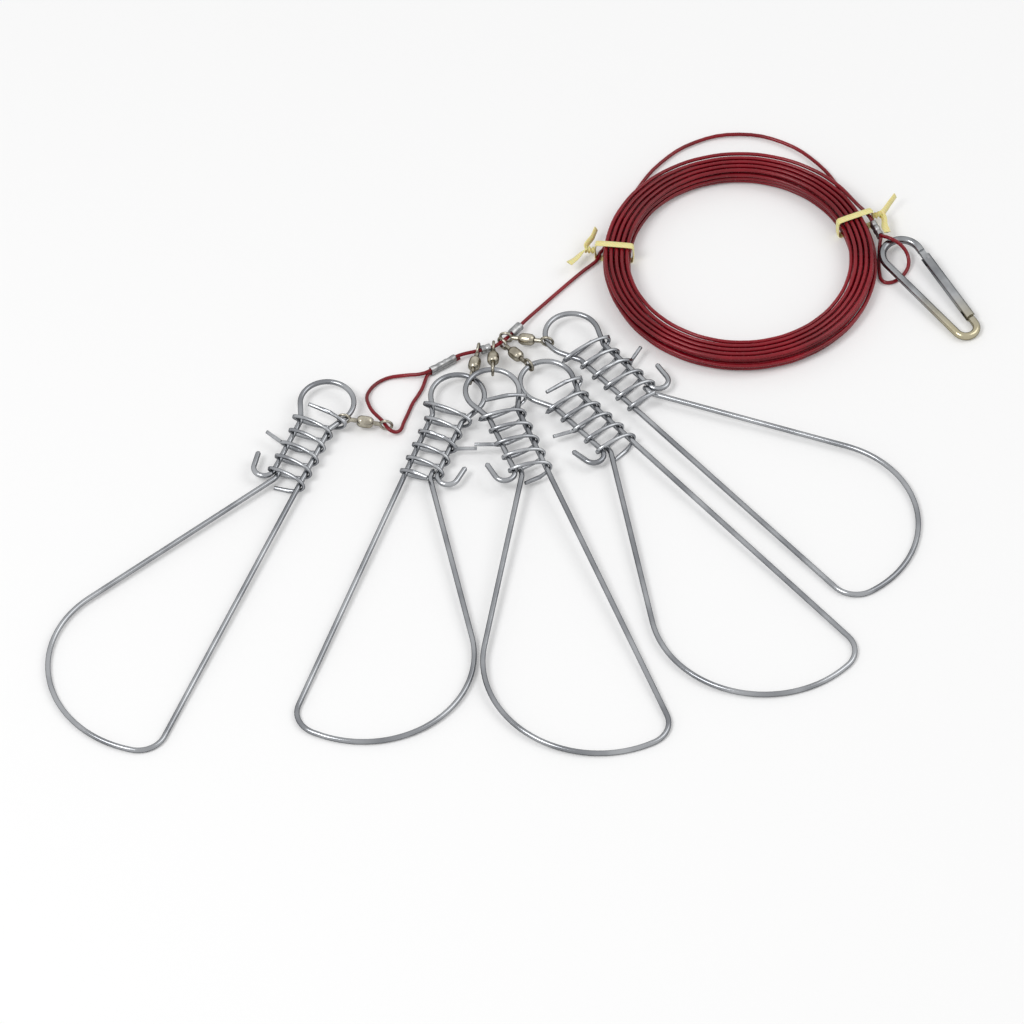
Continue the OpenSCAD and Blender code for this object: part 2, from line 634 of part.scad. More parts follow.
module snap_gate() {
    slot_t = tongue_t + 2 * tongue_gap;
    color("lightgray")
        place_snap()
            on_gate_line()
                difference() {
                    translate([pin_x - heel_l, 0, 0])
                        rotate([0, 90, 0])
                            cylinder(h = gate_end_x - pin_x + heel_l, r = gate_r);
                    translate([pin_x - heel_l - overrun, -gate_d, -slot_t / 2])
                        cube([heel_l + overrun + 2 * gate_pin_d, 2 * gate_d, slot_t]);
                    translate([gate_end_x - nose_tongue_l, -gate_d, -slot_t / 2])
                        cube([nose_tongue_l + overrun, 2 * gate_d, slot_t]);
                    translate([pin_x + 2 * gate_pin_d - overrun / 2, 0, 0])
                        rotate([0, 90, 0])
                            cylinder(h = gate_end_x - pin_x - 2 * nose_tongue_l, r = gate_bore_d / 2);
                    translate([pin_x, 0, -gate_d])
                        cylinder(h = 2 * gate_d, r = gate_pin_d / 2);
                }
}
module snap_gate_pin() {
    color("dimgray")
        place_snap()
            on_gate_line()
                translate([pin_x, 0, -gate_r])
                    cylinder(h = gate_d, r = gate_pin_d / 2);
}
module snap_gate_spring() {
    mid_r = gate_bore_d / 2 - gate_spring_wire_d / 2 - fit;
    run = gate_end_x - pin_x - 2 * nose_tongue_l - 2 * gate_pin_d;
    count = gate_spring_turns * 8;
    points = [for (i = [0 : count])
        [pin_x + 2 * gate_pin_d + gate_spring_wire_d + run * i / count,
         mid_r * cos(step_phase * i), mid_r * sin(step_phase * i)]];
    color("dimgray")
        place_snap()
            on_gate_line()
                tube(points, gate_spring_wire_d / 2, 6, [1, 0, 0]);
}

cable_coil();
cable_lead();
cable_hook_loop();
end_loop_sleeve();
hook_loop_sleeve();
stop_sleeve(STOP_1_POINT);  // stop_sleeve_1
stop_sleeve(STOP_2_POINT);  // stop_sleeve_2
twist_tie_left();
twist_tie_right();
snap_body();
snap_gate();
snap_gate_pin();
snap_gate_spring();
for (n = CLIPS) {
    clip_wire(n - 1);
    lock_slide(n - 1);
    lock_spring(n - 1);
    swivel_barrel(n - 1);
    swivel_cable_eye(n - 1);
    swivel_clip_eye(n - 1);
}
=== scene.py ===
"""A cable fish stringer as it is sold: five wire clips on swivels, a coated steel cable wound in a
bundle, two twist ties and a small snap hook. Sizes are in metres unless a name says mm."""

from math import cos, pi, radians, sin, tau

import bmesh
import bpy
from mathutils import Matrix, Vector


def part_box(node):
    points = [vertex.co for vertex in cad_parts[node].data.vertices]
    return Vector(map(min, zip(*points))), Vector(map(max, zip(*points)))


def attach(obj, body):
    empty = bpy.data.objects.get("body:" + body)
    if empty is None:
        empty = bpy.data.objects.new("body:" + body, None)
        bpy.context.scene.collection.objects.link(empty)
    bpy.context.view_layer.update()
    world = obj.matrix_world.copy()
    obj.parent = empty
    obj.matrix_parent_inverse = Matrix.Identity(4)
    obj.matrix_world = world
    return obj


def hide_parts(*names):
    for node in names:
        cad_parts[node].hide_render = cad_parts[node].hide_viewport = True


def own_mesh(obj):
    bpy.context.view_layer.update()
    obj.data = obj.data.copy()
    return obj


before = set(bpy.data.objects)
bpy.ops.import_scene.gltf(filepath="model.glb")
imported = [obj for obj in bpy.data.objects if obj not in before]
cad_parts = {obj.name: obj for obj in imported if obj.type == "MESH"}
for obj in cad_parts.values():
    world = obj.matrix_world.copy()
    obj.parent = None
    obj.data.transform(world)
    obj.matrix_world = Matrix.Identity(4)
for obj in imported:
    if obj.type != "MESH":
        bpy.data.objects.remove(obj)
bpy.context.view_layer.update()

MM = 0.001

# Camera: the photograph looks down at 50 degrees through a long lens
VIEW_ELEVATION = radians(50)
VIEW_WIDTH = 0.2926
VIEW_CENTRE = Vector((-0.0009, -0.0129, 0))
LONG_LENS_MM = 1000
SENSOR_MM = 36

# Cable, with the same route as its solids
CABLE_D = 1.1 * MM
BUNDLE_X = 64.7 * MM
BUNDLE_Y = 78.1 * MM
BUNDLE_R = 39.3 * MM
LOOP_PITCH = 1.54 * MM
LOOPS = 19.375
LAYERS = 4
POINTS_A_LOOP = 24
BUNDLE_START = 165
LOOSE_BULGE = 11.5 * MM
BULGE_LOOP = 0.2083
BULGE_HALF = 0.1806
TIE_T_MM = 0.6
SECTION_STEPS = 4
CURVE_STEPS = 4
LEAD_ROUTE = [
    (0.0253, 0.0845, 0.0013), (0.0244, 0.0833, 0.0013), (0.0241, 0.0821, 0.00125),
    (0.0235, 0.0807, 0.0011), (0.0221, 0.0793, 0.0009), (0.0203, 0.0776, 0.0009),
    (0.0181, 0.0753, 0.0009), (0.0159, 0.0729, 0.0009), (0.0133, 0.07, 0.0009),
    (0.0109, 0.0672, 0.001), (0.0085, 0.0643, 0.0012), (0.0061, 0.0613, 0.0015),
    (0.0038, 0.0584, 0.0018), (0.0027, 0.0569, 0.002), (0.0014, 0.0551, 0.0022),
    (-0.0011, 0.052, 0.0022), (-0.0022, 0.0507, 0.0022), (-0.004, 0.0489, 0.0022),
    (-0.0062, 0.0472, 0.0022), (-0.0071, 0.0468, 0.0022), (-0.0097, 0.0459, 0.0022),
    (-0.0107, 0.0456, 0.0022), (-0.0133, 0.0449, 0.0022), (-0.0159, 0.044, 0.0022),
    (-0.0173, 0.0432, 0.0022), (-0.0242, 0.0384, 0.0022), (-0.0253, 0.0377, 0.0021),
    (-0.0277, 0.0373, 0.0016), (-0.0303, 0.0374, 0.0012), (-0.0329, 0.0374, 0.0008),
    (-0.0355, 0.037, 0.0007), (-0.038, 0.0359, 0.0007), (-0.0402, 0.034, 0.0008),
    (-0.0418, 0.0315, 0.001), (-0.0425, 0.0288, 0.0014), (-0.042, 0.0259, 0.0018),
    (-0.0409, 0.0232, 0.002), (-0.0397, 0.0215, 0.0021), (-0.0383, 0.0197, 0.0022),
    (-0.0371, 0.0178, 0.0022), (-0.0362, 0.0164, 0.0021), (-0.035, 0.0157, 0.0018),
    (-0.0337, 0.0159, 0.0014), (-0.0327, 0.0171, 0.0011), (-0.032, 0.0196, 0.0008),
    (-0.0307, 0.0233, 0.0007), (-0.0293, 0.0273, 0.0007), (-0.0278, 0.0302, 0.0007),
    (-0.0265, 0.0331, 0.0008), (-0.0257, 0.0359, 0.0009), (-0.0251, 0.0375, 0.001),
    (-0.0242, 0.0384, 0.001), (-0.0173, 0.0432, 0.001), (-0.0159, 0.044, 0.001),
]
HOOK_ROUTE = [
    (0.1016, 0.095, 0.0047), (0.1031, 0.0927, 0.0039), (0.1052, 0.088, 0.0039),
    (0.1057, 0.087, 0.0046), (0.1069, 0.0859, 0.0054), (0.1085, 0.0849, 0.0056),
    (0.1101, 0.0842, 0.005), (0.1115, 0.0834, 0.004), (0.1126, 0.0823, 0.0029),
    (0.1132, 0.0807, 0.0019), (0.1132, 0.0789, 0.0012), (0.1126, 0.0771, 0.0008),
    (0.1115, 0.0754, 0.0006), (0.1101, 0.0739, 0.0006), (0.1084, 0.0729, 0.0006),
    (0.1065, 0.0728, 0.0006), (0.1053, 0.074, 0.0006), (0.1049, 0.076, 0.0006),
    (0.1047, 0.0783, 0.0006), (0.1047, 0.0807, 0.0006), (0.1048, 0.083, 0.0007),
    (0.1049, 0.0851, 0.0012), (0.1051, 0.0869, 0.002), (0.1052, 0.088, 0.0027),
    (0.1031, 0.0927, 0.0027), (0.1027, 0.0937, 0.0027),
]


# Small helpers
def linear(hex_colour):
    """An sRGB hex colour as linear RGBA."""
    values = [int(hex_colour[i:i + 2], 16) / 255 for i in (1, 3, 5)]
    return (*[v / 12.92 if v <= 0.04045 else ((v + 0.055) / 1.055) ** 2.4 for v in values], 1)


def link(piece):
    """Puts a new object in the scene."""
    bpy.context.collection.objects.link(piece)
    return piece


def mesh_piece(name, mesh, *finishes):
    """A mesh object at the origin with its materials."""
    for finish in finishes:
        mesh.materials.append(finish)
    return link(bpy.data.objects.new(name, mesh))


def belongs(piece, body, slot, *nodes):
    """Ties a piece to its body and hides the solids that it stands for. The slot is not used."""
    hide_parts(*nodes)
    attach(piece, body)


def applied(piece):
    """The piece's mesh as its modifiers or its bevel leave it."""
    bpy.context.view_layer.update()
    depsgraph = bpy.context.evaluated_depsgraph_get()
    return bpy.data.meshes.new_from_object(piece.evaluated_get(depsgraph))


# Camera
def add_camera():
    """The photograph's camera."""
    data = bpy.data.cameras.new("Camera")
    data.sensor_width = SENSOR_MM
    data.lens = LONG_LENS_MM
    camera = link(bpy.data.objects.new("Camera", data))
    back = Vector((0, -cos(VIEW_ELEVATION), sin(VIEW_ELEVATION)))
    distance = VIEW_WIDTH * LONG_LENS_MM / SENSOR_MM
    camera.location = VIEW_CENTRE + back * distance
    camera.rotation_mode = "QUATERNION"
    camera.rotation_quaternion = (-back).to_track_quat("-Z", "Y")
    data.clip_start = distance / 100
    data.clip_end = distance * 3
    bpy.context.scene.camera = camera


# Materials
TINT_FROM_Y = 66 * MM
TINT_FULL_Y = 54 * MM


def add_node(tree, kind, inputs=None, **settings):
    """Adds a shader node with its settings, and fills its inputs with values or links."""
    node = tree.nodes.new("ShaderNode" + kind)
    for name, value in settings.items():
        setattr(node, name, value)
    for socket, value in (inputs or {}).items():
        if isinstance(value, bpy.types.NodeSocket):
            tree.links.new(value, node.inputs[socket])
        else:
            node.inputs[socket].default_value = value
    return node


def new_finish(name):
    """An empty material with a shader and its output, and the Object coordinates."""
    finish = bpy.data.materials.new(name)
    finish.use_nodes = True
    tree = finish.node_tree
    tree.nodes.clear()
    shader = add_node(tree, "BsdfPrincipled")
    add_node(tree, "OutputMaterial", {"Surface": shader.outputs["BSDF"]})
    place = add_node(tree, "TexCoord").outputs["Object"]
    return finish, tree, shader, place


def worn_metal(name, bright, dull, painted_edge_shade, grain_mm, cloud_mm, smooth, rough, relief):
    """A metal with a fine grain, clouds where handling has dulled it, and painted shade on its glancing
    edges from a dark edge tint.
    """
    finish, tree, shader, place = new_finish(name)
    grain = add_node(tree, "TexNoise", {"Vector": place, "Scale": 1 / (grain_mm * MM), "Detail": 4})
    cloud = add_node(tree, "TexNoise", {"Vector": place, "Scale": 1 / (cloud_mm * MM), "Detail": 2})
    tone = add_node(tree, "MapRange", {
        "Value": cloud.outputs["Fac"], "From Min": 0.35, "From Max": 0.65})
    colour = add_node(tree, "Mix", {
        0: tone.outputs["Result"], 6: linear(bright), 7: linear(dull)}, data_type="RGBA")
    shine = add_node(tree, "MapRange", {
        "Value": grain.outputs["Fac"], "From Min": 0.3, "From Max": 0.7,
        "To Min": smooth, "To Max": rough})
    bump = add_node(tree, "Bump", {
        "Strength": relief, "Distance": 0.02 * MM, "Height": grain.outputs["Fac"]})
    shader.inputs["Metallic"].default_value = 1
    # The near black edge tint paints shade along the metal's glancing edges
    shader.inputs["Specular Tint"].default_value = linear(painted_edge_shade)
    tree.links.new(colour.outputs[2], shader.inputs["Base Color"])
    tree.links.new(shine.outputs["Result"], shader.inputs["Roughness"])
    tree.links.new(bump.outputs["Normal"], shader.inputs["Normal"])
    return finish


def spring_stainless():
    # Hard drawn stainless wire, tumbled bright: mirror-like along the middle, with painted shade darkening
    # its edges
    return worn_metal("stainless_wire_bright", "#A9ABAE", "#828488", "#2E3033", 0.5, 14, 0.12, 0.22, 0.025)


def coil_steel():
    # Thinner stainless wire as the spring winder leaves it: brighter, a little streaked
    return worn_metal("stainless_spring_wire", "#B1B3B6", "#8C8E92", "#34363A", 0.4, 6, 0.14, 0.26, 0.03)


def barrel_nickel():
    # Turned brass with bright nickel plate: smooth, a trace warmer than the steel wire
    return worn_metal("nickel_plated_barrel", "#BBB5A6", "#938D80", "#4F4B44", 0.3, 2, 0.14, 0.26, 0.08)


def eye_nickel():
    # Bent brass wire with nickel plate, rubbed where the cable and the ring run
    return worn_metal("nickel_plated_eye", "#ADA89B", "#827D72", "#4A463F", 0.3, 2, 0.18, 0.32, 0.1)


def sleeve_aluminium():
    # Soft aluminium tube, matt from the extrusion and dented by the crimping jaws
    return worn_metal("aluminium_sleeve_matt", "#B6B6B6", "#8C8D8E", "#6A6B6C", 0.35, 1.5, 0.28, 0.46, 0.25)


def pin_steel():
    # Plain steel pin with peened ends
    return worn_metal("steel_pin_plain", "#A8A9AB", "#818386", "#55575A", 0.3, 1.5, 0.24, 0.4, 0.15)


def hook_steel():
    # Zinc plated steel wire, passivated: clear over most of it, straw yellow at the narrow end
    finish = worn_metal("zinc_plated_wire", "#A9ABAD", "#838588", "#34363A", 0.45, 8, 0.14, 0.26, 0.03)
    tree = finish.node_tree
    shader = next(n for n in tree.nodes if n.type == "BSDF_PRINCIPLED")
    plain = shader.inputs["Base Color"].links[0].from_socket
    place = next(n for n in tree.nodes if n.type == "TEX_COORD").outputs["Object"]
    along = add_node(tree, "SeparateXYZ", {"Vector": place})
    near_nose = add_node(tree, "MapRange", {
        "Value": along.outputs["Y"], "From Min": TINT_FROM_Y, "From Max": TINT_FULL_Y}, clamp=True)
    tinted = add_node(tree, "Mix", {
        0: near_nose.outputs["Result"], 6: plain, 7: linear("#B2AA90")}, data_type="RGBA")
    tree.links.new(tinted.outputs[2], shader.inputs["Base Color"])
    return finish


def coated_cable():
    # Stranded steel cable in a clear red vinyl coat: deep red with a wet gloss, a shade lighter
    # where the coat is thicker, and paler specks where it is scuffed
    finish, tree, shader, place = new_finish("vinyl_coat_red_gloss")
    cloud = add_node(tree, "TexNoise", {"Vector": place, "Scale": 1 / (18 * MM), "Detail": 2})
    scuff = add_node(tree, "TexNoise", {"Vector": place, "Scale": 1 / (1.1 * MM), "Detail": 5})
    depth = add_node(tree, "MapRange", {
        "Value": cloud.outputs["Fac"], "From Min": 0.35, "From Max": 0.65})
    red = add_node(tree, "Mix", {
        0: depth.outputs["Result"], 6: linear("#8A0A1C"), 7: linear("#6E0714")}, data_type="RGBA")
    rubbed = add_node(tree, "MapRange", {
        "Value": scuff.outputs["Fac"], "From Min": 0.66, "From Max": 0.82, "To Max": 0.25})
    worn = add_node(tree, "Mix", {
        0: rubbed.outputs["Result"], 6: red.outputs[2], 7: linear("#A8323F")}, data_type="RGBA")
    shine = add_node(tree, "MapRange", {
        "Value": scuff.outputs["Fac"], "From Min": 0.3, "From Max": 0.8,
        "To Min": 0.16, "To Max": 0.34})
    bump = add_node(tree, "Bump", {
        "Strength": 0.12, "Distance": 0.02 * MM, "Height": scuff.outputs["Fac"]})
    shader.inputs["Coat Weight"].default_value = 0.12
    shader.inputs["Coat Roughness"].default_value = 0.06
    shader.inputs["Specular IOR Level"].default_value = 0.25
    shader.inputs["IOR"].default_value = 1.53
    tree.links.new(worn.outputs[2], shader.inputs["Base Color"])
    tree.links.new(shine.outputs["Result"], shader.inputs["Roughness"])
    tree.links.new(bump.outputs["Normal"], shader.inputs["Normal"])
    return finish


def tie_plastic():
    # Thin polythene over a core wire: waxy pale yellow, creased, with pale bands along the creases that are
    # partly whitening and partly painted highlight
    finish, tree, shader, place = new_finish("polythene_tie_pale_yellow")
    cloud = add_node(tree, "TexNoise", {"Vector": place, "Scale": 1 / (1.2 * MM), "Detail": 4})
    crease = add_node(tree, "TexWave", {
        "Vector": place, "Scale": 1 / (1.6 * MM), "Distortion": 3, "Detail": 2},
        wave_type="BANDS", bands_direction="DIAGONAL")
    colour = add_node(tree, "Mix", {
        0: cloud.outputs["Fac"], 6: linear("#EFE5A4"), 7: linear("#E0D27C")}, data_type="RGBA")
    # Pale crease bands: part whitened plastic, part painted highlight
    whitening_and_painted_highlight = add_node(tree, "MapRange", {
        "Value": crease.outputs["Fac"], "From Min": 0.75, "From Max": 1, "To Max": 0.5})
    tone = add_node(tree, "Mix", {
        0: whitening_and_painted_highlight.outputs["Result"], 6: colour.outputs[2], 7: linear("#F6F0CB")}, data_type="RGBA")
    bump = add_node(tree, "Bump", {
        "Strength": 0.3, "Distance": 0.05 * MM, "Height": crease.outputs["Fac"]})
    shader.inputs["Roughness"].default_value = 0.42
    shader.inputs["Subsurface Weight"].default_value = 0.15
    shader.inputs["Subsurface Scale"].default_value = 0.4 * MM
    tree.links.new(tone.outputs[2], shader.inputs["Base Color"])
    tree.links.new(bump.outputs["Normal"], shader.inputs["Normal"])
    return finish


# Cable
def bundle_point(t):
    """A point of the winding after t loops: loops spiral in and out again in four layers."""
    loops_a_layer = LOOPS / LAYERS
    in_layer = loops_a_layer - abs(t % (2 * loops_a_layer) - loops_a_layer)
    off_bulge = (t - BULGE_LOOP) / BULGE_HALF
    bulge = LOOSE_BULGE * cos(pi / 2 * off_bulge) ** 2 if abs(off_bulge) < 1 else 0
    radius = BUNDLE_R - LOOP_PITCH * in_layer + bulge
    climbs = [min(1, max(0, (t - layer * loops_a_layer) * 2 + 0.5)) for layer in (1, 2, 3)]
    turn = radians(BUNDLE_START) - tau * t
    return Vector((
        BUNDLE_X + radius * cos(turn),
        BUNDLE_Y + radius * sin(turn),
        TIE_T_MM * MM + CABLE_D / 2 + LOOP_PITCH * sum(climbs)))


def smooth_spline(curve, points):
    """One open smooth spline through the points."""
    spline = curve.splines.new("BEZIER")
    spline.bezier_points.add(len(points) - 1)
    for knot, point in zip(spline.bezier_points, points):
        knot.co = point
        knot.handle_left_type = knot.handle_right_type = "AUTO"
    return spline


def add_cable(finish):
    """The whole cable as one curve, from the end loop's tail to the hook loop's tail."""
    winding = [bundle_point(i / POINTS_A_LOOP) for i in range(int(LOOPS * POINTS_A_LOOP) + 1)]
    route = [Vector(p) for p in reversed(LEAD_ROUTE)] + winding + [Vector(p) for p in HOOK_ROUTE]
    curve = bpy.data.curves.new("cable", "CURVE")
    curve.dimensions = "3D"
    curve.bevel_depth = CABLE_D / 2
    curve.bevel_resolution = SECTION_STEPS
    curve.use_fill_caps = True
    curve.resolution_u = CURVE_STEPS
    smooth_spline(curve, route)
    curve.materials.append(finish)
    cable = link(bpy.data.objects.new("coated_cable", curve))
    belongs(cable, "cable", "coated_cable", "cable_coil", "cable_lead", "cable_hook_loop")
    return cable, route


# Twist ties, in millimetres in the frame of the bundle's section: +x outwards, +z up
TIE_W_MM = 2
TIE_FILM_MM = 0.24
TIE_CORE_MM = 0.5
TIE_PLAY_MM = 0.1
FILM_EDGE_SHARE = 0.94
CORE_FOOT_SHARE = 1.7
CORE_SIDE_SHARE = 0.8
CORNER_TURNS = (0, 30, 60, 90)
BAND_STEPS = 3
KNOT_L_MM = 3
KNOT_TURNS = 1.5
KNOT_STEPS = 9
TAIL_L_MM = 7.8
TAIL_TUCK_MM = 0.4
TAIL_LIFT_MM = 0.9
TAIL_FIRST_BEND = 0.55
TAIL_SHARES = (0, 0.15, 0.35, 0.6, 0.8, 1)
WELD_MM = 0.001


def profile_curve(name, outlines):
    """Closed outlines in a plane, to sweep along a curve."""
    curve = bpy.data.curves.new(name, "CURVE")
    curve.dimensions = "2D"
    curve.fill_mode = "NONE"
    for outline in outlines:
        spline = curve.splines.new("POLY")
        spline.points.add(len(outline) - 1)
        for point, (x, y) in zip(spline.points, outline):
            point.co = (x, y, 0, 1)
        spline.use_cyclic_u = True
    return link(bpy.data.objects.new(name, curve))


def tie_outline(shift=0):
    """Half the film each side of the core wire, which stands proud in the middle."""
    half_w, film, core = TIE_W_MM / 2, TIE_FILM_MM / 2, TIE_CORE_MM / 2
    edge, foot, side = half_w * FILM_EDGE_SHARE, core * CORE_FOOT_SHARE, core * CORE_SIDE_SHARE
    upper = [(half_w, 0), (edge, film), (foot, film), (side, side)]
    upper += [(0, core), (-side, side), (-foot, film), (-edge, film)]
    lower = [(-x, -y) for x, y in upper]
    return [(x, y + shift) for x, y in upper + lower]


def swept(points, outline, tilts=None, cyclic=False, steps=CURVE_STEPS):
    """The mesh of a profile swept along a smooth curve, with a tilt at each point."""
    curve = bpy.data.curves.new("sweep", "CURVE")
    curve.dimensions = "3D"
    curve.twist_mode = "MINIMUM"
    curve.bevel_mode = "OBJECT"
    curve.bevel_object = outline
    curve.use_fill_caps = not cyclic
    curve.resolution_u = steps
    spline = smooth_spline(curve, points)
    spline.use_cyclic_u = cyclic
    for knot, tilt in zip(spline.bezier_points, tilts or [0] * len(points)):
        knot.tilt = tilt
    sweep = link(bpy.data.objects.new("sweep", curve))
    mesh = applied(sweep)
    bpy.data.objects.remove(sweep)
    return mesh


def joined(name, parts, place, *finishes):
    """Several meshes as one piece, moved to its place."""
    form = bmesh.new()
    for part in parts:
        form.from_mesh(part)
    bmesh.ops.remove_doubles(form, verts=form.verts, dist=WELD_MM)
    bmesh.ops.transform(form, matrix=place, verts=form.verts)
    bmesh.ops.recalc_face_normals(form, faces=form.faces)
    mesh = bpy.data.meshes.new(name)
    form.to_mesh(mesh)
    form.free()
    mesh.polygons.foreach_set("use_smooth", [True] * len(mesh.polygons))
    return mesh_piece(name, mesh, *finishes)


def band_points(left, right, low, high):
    """A rounded rectangle of points, corner by corner from the lower right."""
    corner = CABLE_D / MM / 2 + TIE_T_MM / 2
    band = []
    for centre_x, centre_z, start in (
            (right - corner, low + corner, -90), (right - corner, high - corner, 0),
            (left + corner, high - corner, 90), (left + corner, low + corner, 180)):
        for step in CORNER_TURNS:
            turn = radians(start + step)
            band.append(Vector((centre_x + corner * cos(turn), 0, centre_z + corner * sin(turn))))
    return band


def tail_points(start_x, start_z, turn):
    """A free tail that bends away from the knot by a turn in degrees and rises towards its tip."""
    tail = []
    for share in TAIL_SHARES:
        bend = radians(turn) * min(1, TAIL_FIRST_BEND + share)
        tail.append(Vector((
            start_x + TAIL_L_MM * share * cos(bend),
            TAIL_L_MM * share * sin(bend),
            start_z + TAIL_LIFT_MM * share ** 2)))
    return tail


def add_twist_tie(side, angle, tails, finish):
    """A tie bound once round the bundle, twisted on itself, with two free tails: turn and lean."""
    pitch, cable_d = LOOP_PITCH / MM, CABLE_D / MM
    inner_w = pitch * LOOPS / LAYERS + 2 * cable_d + (pitch - cable_d) + 2 * TIE_PLAY_MM
    inner_h = pitch * (LAYERS - 1) + cable_d + TIE_PLAY_MM
    inner_r = BUNDLE_R / MM + cable_d / 2 + pitch + TIE_PLAY_MM - inner_w
    half_t = TIE_T_MM / 2
    right = inner_w + half_t
    low, high = half_t, inner_h + TIE_T_MM + half_t
    middle = (low + high) / 2
    flat = profile_curve("tie_flat", [tie_outline()])
    pair = profile_curve("tie_pair", [tie_outline(TIE_CORE_MM / 2), tie_outline(-TIE_CORE_MM / 2)])
    knot = [Vector((right + KNOT_L_MM * i / KNOT_STEPS, 0, middle)) for i in range(KNOT_STEPS + 1)]
    twist = [tau * KNOT_TURNS * i / KNOT_STEPS for i in range(KNOT_STEPS + 1)]
    parts = [swept(band_points(-half_t, right, low, high), flat, cyclic=True, steps=BAND_STEPS),
             swept(knot, pair, twist)]
    for turn, end_lean in tails:
        lean = [1 + (end_lean - 1) * share for share in TAIL_SHARES]
        tail = tail_points(right + KNOT_L_MM - TAIL_TUCK_MM, middle, turn)
        parts.append(swept(tail, flat, lean))
    place = (Matrix.Scale(MM, 4) @ Matrix.Translation((BUNDLE_X / MM, BUNDLE_Y / MM, 0))
             @ Matrix.Rotation(radians(angle), 4, "Z")
             @ Matrix.Translation((inner_r, 0, 0)))
    tie = joined(side + "_tie_band_and_knot", parts, place, finish)
    bpy.data.objects.remove(flat)
    bpy.data.objects.remove(pair)
    belongs(tie, "cable", "tie_plastic", "twist_tie_" + side)
    return tie


# Wound springs, barrels and crimped sleeves start from their solids. Rings are shares of the way
# back from a cut end, and swells make up for what rounding takes off
MERGE_GAP = 0.002 * MM
COIL_SWELL = 0.11 * MM
GATE_SPRING_SWELL = 0.035 * MM
BARREL_SWELL = 0.04 * MM
CUT_EDGE = radians(75)
FLAT_EDGE = radians(0.1)
SMOOTH_UNDER = radians(50)
ROUND_LEVELS = 2
END_RINGS = (0.1,)
TAB_RINGS = (0.06, 0.5, 0.94)
TAB_SLANT = CABLE_D / 8
SLEEVE_RINGS = 30
RING_GAP = 0.001 * MM
BORE_REACH = CABLE_D * 0.65
JAW_SHARE = 0.11
JAW_DEPTH = 0.16 * MM
JAW_FULLNESS = 0.7


def solid_copy(node):
    """The solid's mesh with its loose triangles joined."""
    form = bmesh.new()
    form.from_mesh(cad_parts[node].data)
    bmesh.ops.remove_doubles(form, verts=form.verts, dist=MERGE_GAP)
    return form


def hold_ends(form):
    """Rings behind the wire's cut ends and along the tab, so that rounding keeps their width."""
    flat = [edge for edge in form.edges if edge.calc_face_angle(0) < FLAT_EDGE]
    bmesh.ops.dissolve_edges(form, edges=flat, use_verts=False)
    ends = [face for face in form.faces
            if all(edge.calc_face_angle(0) > CUT_EDGE for edge in face.edges)]
    for end in ends:
        normal, centre = end.normal.copy(), end.calc_center_median()
        walls = [wall for edge in end.edges for wall in edge.link_faces if wall != end]
        reaches = [max((centre - vert.co).dot(normal) for vert in wall.verts) for wall in walls]
        rings = TAB_RINGS if max(reaches) - min(reaches) > TAB_SLANT else END_RINGS
        geom = list(dict.fromkeys([
            *walls, *[edge for wall in walls for edge in wall.edges],
            *[vert for wall in walls for vert in wall.verts]]))
        for share in rings:
            geom = bmesh.ops.bisect_plane(
                form, geom=geom, dist=MERGE_GAP, plane_no=normal,
                plane_co=centre - normal * min(reaches) * share)["geom"]


def add_rounded(node, name, swell, body, slot, finish, is_wire=True):
    """A solid with its facets rounded away, fattened first because rounding thins it."""
    form = solid_copy(node)
    form.normal_update()
    if is_wire:
        hold_ends(form)
    bmesh.ops.join_triangles(
        form, faces=form.faces, angle_face_threshold=pi, angle_shape_threshold=pi)
    form.normal_update()
    crease = form.edges.layers.float.new("crease_edge")
    for edge in form.edges:
        if edge.calc_face_angle(0) > CUT_EDGE:
            edge[crease] = 1
    for vert in form.verts:
        vert.co += vert.normal * swell
    mesh = bpy.data.meshes.new(name)
    form.to_mesh(mesh)
    form.free()
    rough = mesh_piece(name + "_rough", mesh)
    smooth = rough.modifiers.new("Round", "SUBSURF")
    smooth.levels = smooth.render_levels = ROUND_LEVELS
    finished = applied(rough)
    bpy.data.objects.remove(rough)
    finished.polygons.foreach_set("use_smooth", [True] * len(finished.polygons))
    rounded = mesh_piece(name, finished, finish)
    belongs(rounded, body, slot, node)
    return rounded


def close_up(turns):
    """Gives the turns a mesh of their own."""
    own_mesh(turns)


def add_sleeve(node, start, end, dents, finish):
    """A sleeve pressed from outside at some shares of its length, with its bores left open."""
    form = solid_copy(node)
    axis = (end - start).normalized()
    length = (end - start).length
    for i in range(1, SLEEVE_RINGS):
        bmesh.ops.bisect_plane(
            form, geom=form.verts[:] + form.edges[:] + form.faces[:], dist=RING_GAP,
            plane_co=start + axis * length * i / SLEEVE_RINGS, plane_no=axis)
    across = axis.cross(Vector((0, 0, 1))).normalized()
    low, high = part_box(node)
    middle_z = (low[2] + high[2]) / 2
    for vert in form.verts:
        along = (vert.co - start).dot(axis) / length
        radial = across * (vert.co - start).dot(across) + Vector((0, 0, vert.co.z - middle_z))
        if radial.length > BORE_REACH:
            press = max(max(0, 1 - abs(along - dent) / JAW_SHARE) for dent in dents)
            vert.co -= radial.normalized() * press ** JAW_FULLNESS * JAW_DEPTH
    mesh = bpy.data.meshes.new(node + "_crimped")
    form.to_mesh(mesh)
    form.free()
    mesh.polygons.foreach_set("use_smooth", [True] * len(mesh.polygons))
    mesh.set_sharp_from_angle(angle=SMOOTH_UNDER)
    sleeve = mesh_piece(node + "_crimped", mesh, finish)
    belongs(sleeve, "cable", "crimp_sleeve", node)
    return sleeve


def finish_nodes(finish, *names):
    """Gives carried-over solids their material."""
    for name in names:
        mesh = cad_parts[name].data
        mesh.materials.clear()
        mesh.materials.append(finish)


# Light and floor. Each soft box has its place, the length of its side and its watts
ROOM_LIGHT = 0.55
FLOOR_GLOW = 0.08
FLOOR_LEVEL = -0.06 * MM
FLOOR_REACH = 20
SOFT_BOXES = (
    ("key", (-0.7, -0.5, 1.3), 0.6, 9),
    ("fill", (0.9, 0.2, 1.1), 0.9, 4),
)


